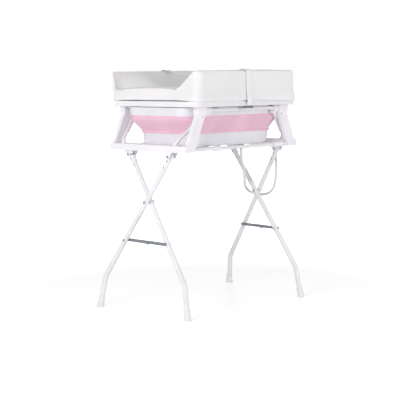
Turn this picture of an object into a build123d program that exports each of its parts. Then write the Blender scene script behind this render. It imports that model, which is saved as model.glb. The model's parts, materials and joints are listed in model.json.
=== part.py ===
from build123d import *
from math import radians, tan
import os

os.makedirs("parts", exist_ok=True)

# A folding baby bath with a changing top, carried on two crossed pairs of bent tube legs.
# X runs along the bath, Y across it and Z up, with the origin on the floor under the middle.
# The near side is -Y and the left end is -X. All lengths are millimetres.

# Fits
running_clearance = 0.05
seat_clearance = 0.3
soft_clearance = 0.4
cut_overrun = 4.0

# Legs: each drops from its head, leans across, bends above the floor and ends in a foot
head_height = 668.0
head_half_spacing = 132.0
bend_height = 137.0
bend_half_spacing = 225.5
foot_half_spacing = 249.5
outer_head_x = 328.0
outer_bend_x = 391.0
outer_foot_x = 405.5
inner_head_x = 313.4
inner_bend_x = 347.0
inner_foot_x = 357.0
leg_diameter = 22.0
leg_wall = 1.5
leg_bend_radius = 70.0
leg_past_pin = 9.0
saddle_drop = 15.0
saddle_grip = 22.0
saddle_lip = 2.0
cap_wall = 2.4
foot_flare = 3.2
foot_height = 44.0
foot_floor = 6.0
plug_dome = 3.0
plug_depth = 3.5
leg_rivet_diameter = 4.0
leg_rivet_head = 7.5
leg_rivet_proud = 1.2
leg_rivet_drops = (22.0, 54.0)

# Pins at the leg heads and where the legs cross
head_pin_diameter = 8.0
head_pin_head = 12.0
head_pin_proud = 2.0
crossing_pin_diameter = 8.0
crossing_pin_head = 13.0
crossing_pin_proud = 2.6
crossing_collar = 12.0

# Folding stays that lock each pair of legs open
stay_height = 303.0
stay_depth = 13.0
stay_thickness = 2.5
stay_gap = 0.3
stay_offset = 1.0
stay_pin_diameter = 6.0
stay_pin_head = 10.0
stay_pin_proud = 2.0
stay_stop_length = 16.0
stay_stop_tab = 8.0

# Moulded bar across each end, with two posts
bar_half_length = 233.0
bar_outer_x = 354.0
bar_inner_x = 290.0
bar_bottom = 687.0
bar_height = 28.0
bar_corner = 16.0
bar_edge = 3.0
bar_wall = 5.0
bar_deck = 4.0
bar_rib = 3.0
bar_pocket_length = 200.0
bar_pocket_count = 3
post_foot_x = 305.0
post_top_x = 250.0
post_foot_width = 52.0
post_top_width = 48.0
post_thickness = 16.0
post_top_height = 842.0
post_fillet = 9.0
post_screw_diameter = 8.4
post_screw_sink = 3.0
post_screw_drop = 11.0
post_screw_shift = 6.0
post_screw_socket = 4.0

# Rails along the bath
lower_rail_diameter = 15.0
lower_rail_y = 222.0
lower_rail_height = 697.0
lower_rail_socket = 38.0
upper_rail_diameter = 16.0
upper_rail_y = 228.0
upper_rail_rise = 16.0
upper_rail_height = post_top_height + upper_rail_rise
upper_rail_half_length = 271.0
rail_wall = 1.5
block_width = 56.0
block_depth = 30.0
block_height = 29.0
block_edge = 3.0

# Bent tube braces from the bars up to the upper rails
brace_diameter = 15.0
brace_wall = 1.4
brace_foot_x = 331.0
brace_foot_y = 160.0
brace_bend_x = 322.0
brace_bend_y = 170.0
brace_bend_height = 738.0
brace_top_x = 208.0
brace_top_y = 217.5
brace_top_drop = 16.0
brace_top_height = upper_rail_height - brace_top_drop
brace_bend_radius = 22.0
brace_inset = 8.0
brace_collar_wall = 3.0
brace_collar_height = 8.0
brace_block_width = 24.0

# Clevises under the bars
clevis_half_gap = 17.0
clevis_ear = 4.0
clevis_plate = 3.0
clevis_half_base = 22.0
clevis_nose = 9.0

# Cradles under the bath, and the drain
cradle_left_x = -150.0
cradle_left_width = 36.0
cradle_right_width = 50.0
cradle_top = 701.7
cradle_thickness = 9.0
cradle_collar_wall = 3.6
cradle_slot_length = 110.0
cradle_slot_width = 14.0
drain_x = 232.0
spigot_diameter = 18.0
spigot_bore = 14.0
spigot_length = 12.0
cup_diameter = 30.0
cup_flange = 36.0
cup_flange_thickness = 3.0
cup_bore = 22.0
cup_bottom = 676.0
cup_floor = 4.0
cup_tail_diameter = 15.0
cup_tail_bore = 9.0
plug_lip_diameter = 26.0
plug_lip = 3.0
plug_stem_length = 3.0
plug_grip_width = 18.0
plug_grip_height = 11.0
plug_grip_thickness = 4.0

# Bath: a stiff rim, a folding band and a stiff base
rim_length = 600.0
rim_width = 412.0
rim_corner = 80.0
rim_drop = 24.0
rim_bottom = upper_rail_height - rim_drop
rim_draft = 2.0
rim_wall = 3.0
rim_lip = 5.5
rim_lip_thickness = 3.0
rim_wing_length = 300.0
band_wall = 3.2
band_shoulder_drop = 20.0
band_shoulder_inset = 4.0
band_drop = 77.0
band_bottom = rim_bottom - band_drop
band_overlap = 2.0
bead_height = 9.0
bead_proud = 5.0
base_length = 512.0
base_width = 336.0
base_corner = 62.0
base_draft = 6.0
base_wall = 3.0
base_shift = 8.0
base_bottom = 702.0
base_round = 12.0

# Drain hose: its route from the drain, round the right legs and back up to a clip
hose_diameter = 13.0
hose_wall = 2.0
hose_route = (
    (232.0, 0.0, 668.0),
    (232.0, 0.0, 635.0),
    (238.0, -6.0, 597.0),
    (250.0, -3.0, 557.0),
    (268.0, 13.0, 522.0),
    (294.0, 37.0, 497.0),
    (326.0, 57.0, 475.0),
    (362.0, 64.0, 456.0),
    (393.0, 47.0, 444.0),
    (408.0, 12.0, 445.0),
    (406.0, -24.0, 460.0),
    (398.0, -52.0, 487.0),
    (387.0, -71.0, 522.0),
    (377.0, -84.0, 560.0),
    (370.0, -91.0, 600.0),
    (368.0, -92.0, 636.0),
    (368.0, -92.0, 668.0),
)
hose_bend_share = 0.45
hose_cap_diameter = 16.0
hose_cap_length = 38.0
hose_cap_round = 3.0
hose_clip_wall = 3.0
hose_clip_height = 14.0
hose_clip_rise = 22.0
hose_clip_mouth = 9.0

# Changing top: a shallow tray hinged along the far side
tray_length = 616.0
tray_width = 536.0
tray_corner = 34.0
tray_rise = 14.0
tray_bottom = upper_rail_height + tray_rise
tray_height = 23.0
tray_draft = 8.0
tray_wall = 3.0
tray_rib = 3.0
tray_rib_half_spacing = 83.0
hinge_y = 254.0
hinge_rise = 6.0
hinge_height = upper_rail_height + hinge_rise
hinge_station = 166.0
hinge_half_width = 12.0
hinge_ear = 6.0
hinge_pin_diameter = 6.0
hinge_pin_head = 9.0
hinge_pin_proud = 1.5
hinge_nose = 6.0
hinge_clamp_wall = 4.0

# Changing pad: a mattress with raised walls on three sides, open at the left end
pad_length = 616.0
pad_width = 542.0
pad_corner = 36.0
pad_rise = 146.0
pad_top = tray_bottom + pad_rise
pad_edge = 9.0
pad_draw_in = 3.0
pad_wall_top = 27.0
pad_wall_foot = 134.0
pad_wall_round = 14.0
pad_floor_rise = 74.0
pad_floor_height = tray_bottom + pad_floor_rise
pad_crown = 8.0
pad_end_top = 26.0
pad_end_foot = 130.0
pad_end_drop = 67.0

# Belt over the pad
belt_width = 30.0
belt_thickness = 1.6
belt_sag = 22.0
belt_span_half = 234.0
belt_end_drop = 7.0
belt_end_height = tray_bottom - belt_end_drop
belt_corner = 10.2
buckle_half_length = 27.0
buckle_width = 38.0
buckle_thickness = 11.0
buckle_edge = 2.5
buckle_split = 6.0
anchor_width = 40.0
anchor_depth = 22.0
anchor_height = 10.0
anchor_slot = 4.4

# Sizes and places that follow from the ones above
leg_radius = leg_diameter / 2
saddle_radius = leg_radius + cap_wall
head_pin_radius = head_pin_diameter / 2
crossing_share = head_half_spacing / (head_half_spacing + bend_half_spacing)
stay_share = (head_height - stay_height) / (head_height - bend_height)
bar_top = bar_bottom + bar_height
bar_width = bar_outer_x - bar_inner_x
bar_middle_x = (bar_outer_x + bar_inner_x) / 2
block_top = post_top_height + block_height
wing_bottom = upper_rail_height + upper_rail_diameter / 2 + seat_clearance
rim_top = wing_bottom + rim_lip_thickness
tray_top = tray_bottom + tray_height
pad_bottom = tray_top + soft_clearance
belt_side_y = pad_width / 2 - pad_draw_in + soft_clearance + belt_thickness / 2
belt_top_height = pad_top + soft_clearance + belt_thickness / 2
both_ends = (-1, 1)


def finish(piece, name):
    piece.part.label = name
    export_step(piece.part, "parts/" + name + ".step")


def across(x, y, z):
    """A sketch plane square to X: its first axis is +Y and its second is up."""
    return Plane(origin=(x, y, z), x_dir=(0, 1, 0), z_dir=(1, 0, 0))


def upright(x, y, z):
    """A sketch plane square to Y: its first axis is +X and its second is up."""
    return Plane(origin=(x, y, z), x_dir=(1, 0, 0), z_dir=(0, -1, 0))


def rod(x_from, x_to, y, z, diameter, mode=Mode.ADD):
    """A round bar along X, or a hole when the mode takes it away."""
    with BuildSketch(across(x_from, y, z)) as section:
        Circle(diameter / 2)
    extrude(section.sketch, amount=x_to - x_from, mode=mode)


def disc(origin, direction, radius, thickness, mode=Mode.ADD, taper=0):
    """A round slice that starts at the origin and runs along the direction."""
    with BuildSketch(Plane(origin=origin, z_dir=direction)) as section:
        Circle(radius)
    extrude(section.sketch, amount=thickness, taper=taper, mode=mode)


def rounded_loft(levels, inset=0, mode=Mode.ADD):
    """Straight walls between rounded rectangles, each level being height, length, width, corner, shift."""
    sections = []
    for height, length, width, corner, shift in levels:
        with BuildSketch(Plane.XY.offset(height)) as section:
            with Locations((shift, 0)):
                RectangleRounded(length - 2 * inset, width - 2 * inset, corner - inset)
        sections.append(section.sketch)
    loft(sections, ruled=True, mode=mode)


def tube_along(points, radius, diameter, wall):
    """A bent round tube through the points. Gives back its centre line."""
    with BuildLine() as run:
        FilletPolyline(*points, radius=radius)
    path = run.wires()[0]
    with BuildSketch(Plane(origin=path @ 0, z_dir=path % 0)) as section:
        Circle(diameter / 2)
        Circle(diameter / 2 - wall, mode=Mode.SUBTRACT)
    sweep(section.sketch, path=path)
    return path


# Leg geometry
def leg_points(kind, end):
    """Head, bend and floor point of a leg, and the unit vectors up its shank and up its long part."""
    if kind == "outer":
        lean, head_x, bend_x, foot_x = 1, outer_head_x, outer_bend_x, outer_foot_x
    else:
        lean, head_x, bend_x, foot_x = -1, inner_head_x, inner_bend_x, inner_foot_x
    head = Vector(end * head_x, -lean * head_half_spacing, head_height)
    bend = Vector(end * bend_x, lean * bend_half_spacing, bend_height)
    floor = Vector(end * foot_x, lean * foot_half_spacing, 0)
    return head, bend, floor, (bend - floor).normalized(), (head - bend).normalized()


def leg_splay(kind):
    """How far a leg moves along X for each unit that it drops."""
    head, bend, floor, shank, upward = leg_points(kind, 1)
    return (bend.X - head.X) / (head.Z - bend.Z)


def side_name(end):
    return "left" if end < 0 else "right"


for kind in ("outer", "inner"):
    for end in both_ends:
        head, bend, floor, shank, upward = leg_points(kind, end)
        bottom = floor + shank * foot_floor
        top = head + upward * (leg_past_pin if kind == "outer" else -saddle_drop)
        holes = [
            (head + (bend - head) * crossing_share, crossing_pin_diameter),
            (head + (bend - head) * stay_share, stay_pin_diameter),
        ]
        holes += [(head - upward * drop, leg_rivet_diameter) for drop in leg_rivet_drops]
        if kind == "outer":
            holes.append((head, head_pin_diameter))
        with BuildPart() as leg:
            tube_along((bottom, bend, top), leg_bend_radius, leg_diameter, leg_wall)
            for place, size in holes:
                bore = size + 2 * running_clearance
                rod(place.X - leg_diameter, place.X + leg_diameter, place.Y, place.Z, bore, Mode.SUBTRACT)
        finish(leg, kind + "_leg_" + side_name(end))

# Feet: flared caps cut flat on the floor
for kind in ("outer", "inner"):
    with BuildPart() as feet:
        for end in both_ends:
            head, bend, floor, shank, upward = leg_points(kind, end)
            with BuildSketch(Plane.XY) as sole:
                with Locations((floor.X, floor.Y)):
                    Circle(saddle_radius + foot_flare)
            with BuildSketch(Plane(origin=floor + shank * foot_height / 3, z_dir=shank)) as ankle:
                Circle(saddle_radius + foot_flare / 3)
            with BuildSketch(Plane(origin=floor + shank * foot_height, z_dir=shank)) as collar:
                Circle(saddle_radius)
            loft([sole.sketch, ankle.sketch, collar.sketch])
            disc(floor + shank * foot_floor, shank, leg_radius + running_clearance, foot_height, Mode.SUBTRACT)
    finish(feet, kind + "_feet")

# Domed plugs in the tops of the outer legs
with BuildPart() as plugs:
    for end in both_ends:
        head, bend, floor, shank, upward = leg_points("outer", end)
        top = head + upward * leg_past_pin
        disc(top, upward, leg_radius - leg_wall - running_clearance, -plug_depth)
        disc(top, upward, leg_radius, plug_dome / 2)
        disc(top + upward * plug_dome / 2, upward, leg_radius, plug_dome / 2, taper=45)
finish(plugs, "outer_leg_plugs")

# Saddles on the tops of the inner legs: the far side of the frame rests in them on its pins
with BuildPart() as saddles:
    for end in both_ends:
        head, bend, floor, shank, upward = leg_points("inner", end)
        top = head - upward * saddle_drop
        disc(top - upward * saddle_grip, upward, saddle_radius, saddle_grip + saddle_drop)
        disc(top, upward, leg_radius + running_clearance, -saddle_grip - cut_overrun, Mode.SUBTRACT)
        with BuildSketch(across(head.X - saddle_radius - cut_overrun, head.Y, head.Z)) as seat:
            with Locations((0, leg_radius)):
                Rectangle(2 * leg_diameter, leg_diameter + 2 * saddle_lip)
            Circle(head_pin_radius + seat_clearance)
        extrude(seat.sketch, amount=2 * (saddle_radius + cut_overrun), mode=Mode.SUBTRACT)
        for drop in leg_rivet_drops:
            place = head - upward * drop
            bore = leg_rivet_diameter + 2 * running_clearance
            rod(place.X - leg_diameter, place.X + leg_diameter, place.Y, place.Z, bore, Mode.SUBTRACT)
finish(saddles, "inner_leg_saddles")

# Rivets near the leg heads, and the one on each inner leg that the stay's end button covers
for kind in ("outer", "inner"):
    with BuildPart() as rivets:
        for end in both_ends:
            head, bend, floor, shank, upward = leg_points(kind, end)
            for drop in leg_rivet_drops:
                place = head - upward * drop
                capped = kind == "inner" and drop < saddle_drop + saddle_grip
                reach = (saddle_radius if capped else leg_radius) + leg_splay(kind) * leg_rivet_head / 2
                rod(place.X - reach, place.X + reach, place.Y, place.Z, leg_rivet_diameter)
                for face in both_ends:
                    start = place.X + face * reach
                    rod(start, start + face * leg_rivet_proud, place.Y, place.Z, leg_rivet_head)
            if kind == "inner":
                place = head + (bend - head) * stay_share
                inside = place.X - end * (leg_radius + leg_splay(kind) * stay_pin_head / 2)
                rod(inside, place.X + end * leg_radius, place.Y, place.Z, stay_pin_diameter)
                rod(inside - end * stay_pin_proud, inside, place.Y, place.Z, stay_pin_head)
    finish(rivets, kind + "_leg_rivets")

# Rivets where the legs cross, each with a collar that spaces the two tubes
outer_head, outer_bend = leg_points("outer", 1)[:2]
inner_head, inner_bend = leg_points("inner", 1)[:2]
outer_crossing = outer_head + (outer_bend - outer_head) * crossing_share
inner_crossing = inner_head + (inner_bend - inner_head) * crossing_share
crossing_z = outer_crossing.Z
outer_reach = leg_radius + leg_splay("outer") * crossing_pin_head / 2
inner_reach = leg_radius + leg_splay("inner") * crossing_pin_head / 2
outer_face = outer_crossing.X + outer_reach
inner_face = inner_crossing.X - inner_reach
with BuildPart() as crossing_rivets:
    for end in both_ends:
        rod(end * inner_face, end * outer_face, 0, crossing_z, crossing_pin_diameter)
        rod(
            end * (inner_crossing.X + inner_reach),
            end * (outer_crossing.X - outer_reach),
            0,
            crossing_z,
            crossing_collar,
        )
        rod(end * outer_face, end * (outer_face + crossing_pin_proud), 0, crossing_z, crossing_pin_head)
        rod(end * (inner_face - crossing_pin_proud), end * inner_face, 0, crossing_z, crossing_pin_head)
finish(crossing_rivets, "crossing_rivets")

# Folding stays: an outer half on the outer leg, and an inner half that ends at the inner leg
stay_outer_pin = outer_head + (outer_bend - outer_head) * stay_share
stay_inner_pin = inner_head + (inner_bend - inner_head) * stay_share
stay_length = stay_outer_pin.Y
stay_middle_x = (stay_outer_pin.X + stay_inner_pin.X) / 2 + stay_offset
stay_outer_x = stay_middle_x + stay_gap / 2
stay_inner_x = stay_middle_x - stay_gap / 2 - stay_thickness
stay_outer_face = stay_outer_x + stay_thickness
stay_reach = leg_radius + leg_splay("outer") * stay_pin_head / 2
stay_button = stay_inner_x - seat_clearance
stay_end_face = stay_inner_pin.X + leg_radius + leg_splay("inner") * stay_pin_head / 2 + seat_clearance

for end in both_ends:
    with BuildPart() as half:
        with BuildSketch(across(end * stay_outer_x, 0, stay_height)):
            with Locations((stay_length / 2, 0)):
                SlotCenterToCenter(stay_length, stay_depth)
            with Locations((-stay_stop_length / 2, -(seat_clearance + stay_thickness) / 2)):
                Rectangle(stay_stop_length, stay_depth + seat_clearance + stay_thickness)
        extrude(amount=end * stay_thickness)
        tab_top = stay_height - stay_depth / 2 - seat_clearance
        with BuildSketch(Plane.XY.offset(tab_top - stay_thickness)):
            with Locations((end * (stay_outer_x - stay_thickness / 2), stay_stop_tab / 2 - stay_stop_length)):
                Rectangle(stay_thickness, stay_stop_tab)
        extrude(amount=stay_thickness)
        leg_inside = stay_outer_pin.X - stay_reach
        leg_outside = stay_outer_pin.X + stay_reach
        rod(end * stay_outer_face, end * leg_inside, stay_length, stay_height, stay_pin_head)
        rod(end * stay_outer_face, end * leg_outside, stay_length, stay_height, stay_pin_diameter)
        rod(end * leg_outside, end * (leg_outside + stay_pin_proud), stay_length, stay_height, stay_pin_head)
        rod(end * stay_button, end * stay_outer_x, 0, stay_height, stay_pin_diameter)
        rod(end * (stay_button - stay_pin_proud), end * stay_button, 0, stay_height, stay_pin_head)
    finish(half, "leg_stay_" + side_name(end) + "_outer")

    with BuildPart() as half:
        with BuildSketch(across(end * stay_inner_x, 0, stay_height)):
            with Locations((-stay_length / 2, 0)):
                SlotCenterToCenter(stay_length, stay_depth)
            Circle(stay_pin_diameter / 2 + running_clearance, mode=Mode.SUBTRACT)
        extrude(amount=end * stay_thickness)
        rod(end * stay_end_face, end * stay_inner_x, -stay_length, stay_height, stay_pin_head)
    finish(half, "leg_stay_" + side_name(end) + "_inner")


# Brace geometry: the line of a bent brace from its foot in the bar to its top in a block
def brace_points(end, side):
    foot = Vector(end * brace_foot_x, side * brace_foot_y, bar_top)
    bend = Vector(end * brace_bend_x, side * brace_bend_y, brace_bend_height)
    top = Vector(end * brace_top_x, side * brace_top_y, brace_top_height)
    return foot, bend, top


# End frames: a ribbed bar across the end of the stand with a leaning post at each side
foot_out = post_foot_x + post_foot_width / 2
foot_in = post_foot_x - post_foot_width / 2
screw_x = post_top_x - post_screw_shift
screw_height = post_top_height - post_screw_drop
pocket_pitch = bar_pocket_length / bar_pocket_count
for end in both_ends:
    with BuildPart() as frame:
        with BuildSketch(Plane.XY.offset(bar_bottom)) as plan:
            with Locations((end * bar_middle_x, 0)):
                Rectangle(bar_width, 2 * bar_half_length)
            by_end = plan.vertices().sort_by(Axis.X, reverse=end > 0)
            fillet(by_end[:2], bar_corner)
        extrude(amount=bar_height)
        fillet(frame.edges().group_by(Axis.Z)[-1], bar_edge)
        for side in both_ends:
            face_y = bar_half_length if side > 0 else post_thickness - bar_half_length
            with BuildSketch(upright(0, face_y, 0)) as outline:
                with BuildLine():
                    Polyline(
                        (end * (bar_inner_x + bar_edge), bar_bottom + bar_edge),
                        (end * (bar_outer_x - bar_corner), bar_bottom + bar_edge),
                        (end * (bar_outer_x - bar_corner), bar_top),
                        (end * foot_out, bar_top),
                        (end * (post_top_x + post_top_width / 2), post_top_height),
                        (end * (post_top_x - post_top_width / 2), post_top_height),
                        (end * foot_in, bar_top),
                        close=True,
                    )
                make_face()
                fillet(outline.vertices().sort_by_distance((end * foot_out, bar_top))[0], post_fillet)
                fillet(outline.vertices().sort_by_distance((end * foot_in, bar_top))[0], post_fillet)
            extrude(amount=post_thickness)
            with BuildSketch(upright(end * screw_x, side * bar_half_length, screw_height)):
                Circle(post_screw_diameter / 2 + seat_clearance)
            extrude(amount=side * post_screw_sink, mode=Mode.SUBTRACT)
            foot, bend, top = brace_points(end, side)
            rise = (bend - foot).normalized()
            start = foot - rise * brace_inset
            bore = brace_diameter / 2 + running_clearance
            disc(start, rise, bore + brace_collar_wall, brace_inset + brace_collar_height)
            disc(start, rise, bore, brace_inset + brace_collar_height + cut_overrun, Mode.SUBTRACT)
            rod(
                end * (foot_in - cut_overrun),
                end * (bar_inner_x + lower_rail_socket),
                side * lower_rail_y,
                lower_rail_height,
                lower_rail_diameter + 2 * running_clearance,
                Mode.SUBTRACT,
            )
        with BuildSketch(Plane.XY.offset(bar_bottom)):
            with Locations((end * bar_middle_x, 0)):
                with GridLocations(bar_width, pocket_pitch, 1, bar_pocket_count):
                    Rectangle(bar_width - 2 * bar_wall, pocket_pitch - bar_rib)
        extrude(amount=bar_height - bar_deck, mode=Mode.SUBTRACT)
    finish(frame, "end_frame_" + side_name(end))

# Screws that hold the posts to the rail blocks
with BuildPart() as screws:
    for end in both_ends:
        for side in both_ends:
            with BuildSketch(upright(end * screw_x, side * (bar_half_length - post_screw_sink), screw_height)):
                Circle(post_screw_diameter / 2)
                RegularPolygon(post_screw_socket / 2, 6, mode=Mode.SUBTRACT)
            extrude(amount=-side * (post_screw_sink - seat_clearance))
            with BuildSketch(upright(end * screw_x, side * (bar_half_length - post_screw_sink), screw_height)):
                Circle(post_screw_diameter / 2)
            extrude(amount=-side * post_screw_sink / 2)
finish(screws, "post_screws")

# Lower rails, plugged into the bars
with BuildPart() as lower_rails:
    reach = bar_inner_x + lower_rail_socket
    for side in both_ends:
        with BuildSketch(across(-reach, side * lower_rail_y, lower_rail_height)):
            Circle(lower_rail_diameter / 2)
            Circle(lower_rail_diameter / 2 - rail_wall, mode=Mode.SUBTRACT)
        extrude(amount=2 * reach)
finish(lower_rails, "lower_rails")

# Upper rails, held in blocks on the posts
with BuildPart() as upper_rails:
    for side in both_ends:
        with BuildSketch(across(-upper_rail_half_length, side * upper_rail_y, upper_rail_height)):
            Circle(upper_rail_diameter / 2)
            Circle(upper_rail_diameter / 2 - rail_wall, mode=Mode.SUBTRACT)
        extrude(amount=2 * upper_rail_half_length)
finish(upper_rails, "upper_rails")

upper_rail_bore = upper_rail_diameter + 2 * running_clearance
with BuildPart() as blocks:
    with BuildSketch(Plane.XY.offset(post_top_height)):
        with GridLocations(2 * post_top_x, 2 * upper_rail_y, 2, 2):
            Rectangle(block_width, block_depth)
    extrude(amount=block_height)
    fillet(blocks.edges().filter_by(Axis.Z), block_edge)
    fillet(blocks.edges().group_by(Axis.Z)[-1], block_edge / 2)
    reach = upper_rail_half_length + running_clearance
    for side in both_ends:
        rod(-reach, reach, side * upper_rail_y, upper_rail_height, upper_rail_bore, Mode.SUBTRACT)
finish(blocks, "rail_blocks")

# Bent braces and the blocks that hold their tops on the upper rails
with BuildPart() as braces:
    for end in both_ends:
        for side in both_ends:
            foot, bend, top = brace_points(end, side)
            start = foot - (bend - foot).normalized() * brace_inset
            tube_along((start, bend, top), brace_bend_radius, brace_diameter, brace_wall)
finish(braces, "frame_braces")

with BuildPart() as brace_blocks:
    for end in both_ends:
        for side in both_ends:
            foot, bend, top = brace_points(end, side)
            rise = (top - bend).normalized()
            start = end * (brace_top_x - brace_block_width / 2)
            with BuildSketch(across(start, side * upper_rail_y, upper_rail_height)):
                Circle(block_top - upper_rail_height)
                with Locations((side * (brace_top_y - upper_rail_y), brace_top_height - upper_rail_height)):
                    Circle(brace_diameter / 2 + brace_collar_wall)
                make_hull()
            extrude(amount=end * brace_block_width)
            disc(top, rise, brace_diameter / 2 + running_clearance, -brace_block_width, Mode.SUBTRACT)
    for side in both_ends:
        reach = upper_rail_half_length
        rod(-reach, reach, side * upper_rail_y, upper_rail_height, upper_rail_bore, Mode.SUBTRACT)
finish(brace_blocks, "brace_blocks")

# Clevises: the near pair takes the outer leg heads, the far pair drops over the saddles
clevis_half_width = clevis_half_gap + clevis_ear
for side, pin_x, name in ((-1, outer_head_x, "near_clevises"), (1, inner_head_x, "far_clevises")):
    with BuildPart() as clevises:
        for end in both_ends:
            with BuildSketch(Plane.XY.offset(bar_bottom - clevis_plate)):
                with Locations((end * pin_x, side * head_half_spacing)):
                    Rectangle(2 * clevis_half_width, 2 * clevis_half_base)
            extrude(amount=clevis_plate)
            for face in both_ends:
                inside = end * pin_x + face * clevis_half_gap
                with BuildSketch(across(inside, side * head_half_spacing, head_height)):
                    Circle(clevis_nose)
                    with Locations((0, bar_bottom - clevis_plate / 2 - head_height)):
                        Rectangle(2 * clevis_half_base, clevis_plate)
                    make_hull()
                extrude(amount=face * clevis_ear)
            rod(
                end * pin_x - clevis_half_width - cut_overrun,
                end * pin_x + clevis_half_width + cut_overrun,
                side * head_half_spacing,
                head_height,
                head_pin_diameter + 2 * running_clearance,
                Mode.SUBTRACT,
            )
    finish(clevises, name)

# Pins through the clevises
with BuildPart() as head_pins:
    for side, pin_x in ((-1, outer_head_x), (1, inner_head_x)):
        for end in both_ends:
            middle = end * pin_x
            y = side * head_half_spacing
            rod(middle - clevis_half_width, middle + clevis_half_width, y, head_height, head_pin_diameter)
            for face in both_ends:
                start = middle + face * clevis_half_width
                rod(start, start + face * head_pin_proud, y, head_height, head_pin_head)
finish(head_pins, "head_pins")

# Cradles that span the lower rails and carry the bath
lower_rail_bore = lower_rail_diameter + 2 * running_clearance
for cradle_x, cradle_width, name in (
    (cradle_left_x, cradle_left_width, "cradle_left"),
    (drain_x, cradle_right_width, "cradle_right"),
):
    with BuildPart() as cradle:
        with BuildSketch(Plane.XY.offset(cradle_top - cradle_thickness)):
            with Locations((cradle_x, 0)):
                Rectangle(cradle_width, 2 * lower_rail_y)
            with Locations((cradle_x, lower_rail_y / 2), (cradle_x, -lower_rail_y / 2)):
                SlotOverall(cradle_slot_length, cradle_slot_width, rotation=90, mode=Mode.SUBTRACT)
        extrude(amount=cradle_thickness)
        start = cradle_x - cradle_width / 2
        stop = cradle_x + cradle_width / 2
        for side in both_ends:
            y = side * lower_rail_y
            rod(start, stop, y, lower_rail_height, lower_rail_bore + 2 * cradle_collar_wall)
            rod(start, stop, y, lower_rail_height, lower_rail_bore, Mode.SUBTRACT)
        if name == "cradle_right":
            bore = cup_diameter / 2 + running_clearance
            disc((drain_x, 0, cradle_top), (0, 0, 1), bore, -cradle_thickness, Mode.SUBTRACT)
    finish(cradle, name)

# Drain cup in the right cradle, with the tail that the hose leaves
drain_axis = Axis((drain_x, 0, 0), (0, 0, 1))
cradle_bottom = cradle_top - cradle_thickness
cup_tail_bottom = hose_route[0][2]
with BuildPart() as cup:
    with BuildSketch(upright(drain_x, 0, 0)):
        with BuildLine():
            Polyline(
                (cup_tail_bore / 2, cup_tail_bottom),
                (cup_tail_diameter / 2, cup_tail_bottom),
                (cup_tail_diameter / 2, cup_bottom - cup_floor),
                (cup_diameter / 2, cup_bottom),
                (cup_diameter / 2, cradle_bottom - cup_flange_thickness),
                (cup_flange / 2, cradle_bottom - cup_flange_thickness),
                (cup_flange / 2, cradle_bottom),
                (cup_diameter / 2, cradle_bottom),
                (cup_diameter / 2, cradle_top),
                (cup_bore / 2, cradle_top),
                (cup_bore / 2, cup_bottom + cup_floor),
                (cup_tail_bore / 2, cup_bottom),
                close=True,
            )
        make_face()
    revolve(axis=drain_axis)
finish(cup, "drain_cup")

# Bath rim with its lip, and wings that lie on the upper rails
rim_bottom_length = rim_length - 2 * rim_draft
rim_bottom_width = rim_width - 2 * rim_draft
rim_levels = (
    (rim_bottom, rim_bottom_length, rim_bottom_width, rim_corner, 0),
    (rim_top, rim_length, rim_width, rim_corner, 0),
)
with BuildPart() as rim:
    rounded_loft(rim_levels)
    with BuildSketch(Plane.XY.offset(wing_bottom)):
        RectangleRounded(rim_length + 2 * rim_lip, rim_width + 2 * rim_lip, rim_corner + rim_lip)
        Rectangle(rim_wing_length, 2 * upper_rail_y + upper_rail_diameter)
    extrude(amount=rim_lip_thickness)
    rounded_loft(rim_levels, inset=rim_wall, mode=Mode.SUBTRACT)
finish(rim, "tub_rim")

# Folding band between the rim and the base, with a bead round its foot
shoulder_height = rim_bottom - band_shoulder_drop
shoulder_length = rim_bottom_length - 2 * band_shoulder_inset
shoulder_width = rim_bottom_width - 2 * band_shoulder_inset
bead_top = band_bottom + bead_height
foot_length = base_length + 2 * band_overlap
foot_width = base_width + 2 * band_overlap
band_levels = (
    (rim_bottom, rim_bottom_length, rim_bottom_width, rim_corner, 0),
    (shoulder_height, shoulder_length, shoulder_width, rim_corner, 0),
    (bead_top, foot_length, foot_width, base_corner + band_overlap, base_shift),
    (band_bottom, base_length, base_width, base_corner, base_shift),
)
with BuildPart() as band:
    with BuildSketch(Plane.XY.offset(band_bottom)):
        with Locations((base_shift, 0)):
            RectangleRounded(base_length + 2 * bead_proud, base_width + 2 * bead_proud, base_corner + bead_proud)
    extrude(amount=bead_height)
    fillet(band.edges().group_by(Axis.Z)[0] + band.edges().group_by(Axis.Z)[-1], bead_height / 3)
    rounded_loft(band_levels)
    rounded_loft(band_levels, inset=band_wall, mode=Mode.SUBTRACT)
finish(band, "tub_band")

# Stiff base of the bath, with the drain spigot under its floor
base_bottom_length = base_length - 2 * base_draft
base_bottom_width = base_width - 2 * base_draft
base_levels = (
    (base_bottom, base_bottom_length, base_bottom_width, base_corner - base_draft, base_shift),
    (band_bottom, base_length, base_width, base_corner, base_shift),
)
base_floor_height = base_bottom + base_wall
spigot_reach = base_wall + spigot_length
with BuildPart() as base:
    rounded_loft(base_levels)
    fillet(base.faces().sort_by(Axis.Z)[0].edges(), base_round)
    offset(amount=-base_wall, openings=base.faces().sort_by(Axis.Z)[-1])
    disc((drain_x, 0, base_floor_height), (0, 0, 1), spigot_diameter / 2, -spigot_reach)
    disc((drain_x, 0, base_floor_height), (0, 0, 1), spigot_bore / 2, -spigot_reach, Mode.SUBTRACT)
finish(base, "tub_base")

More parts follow.
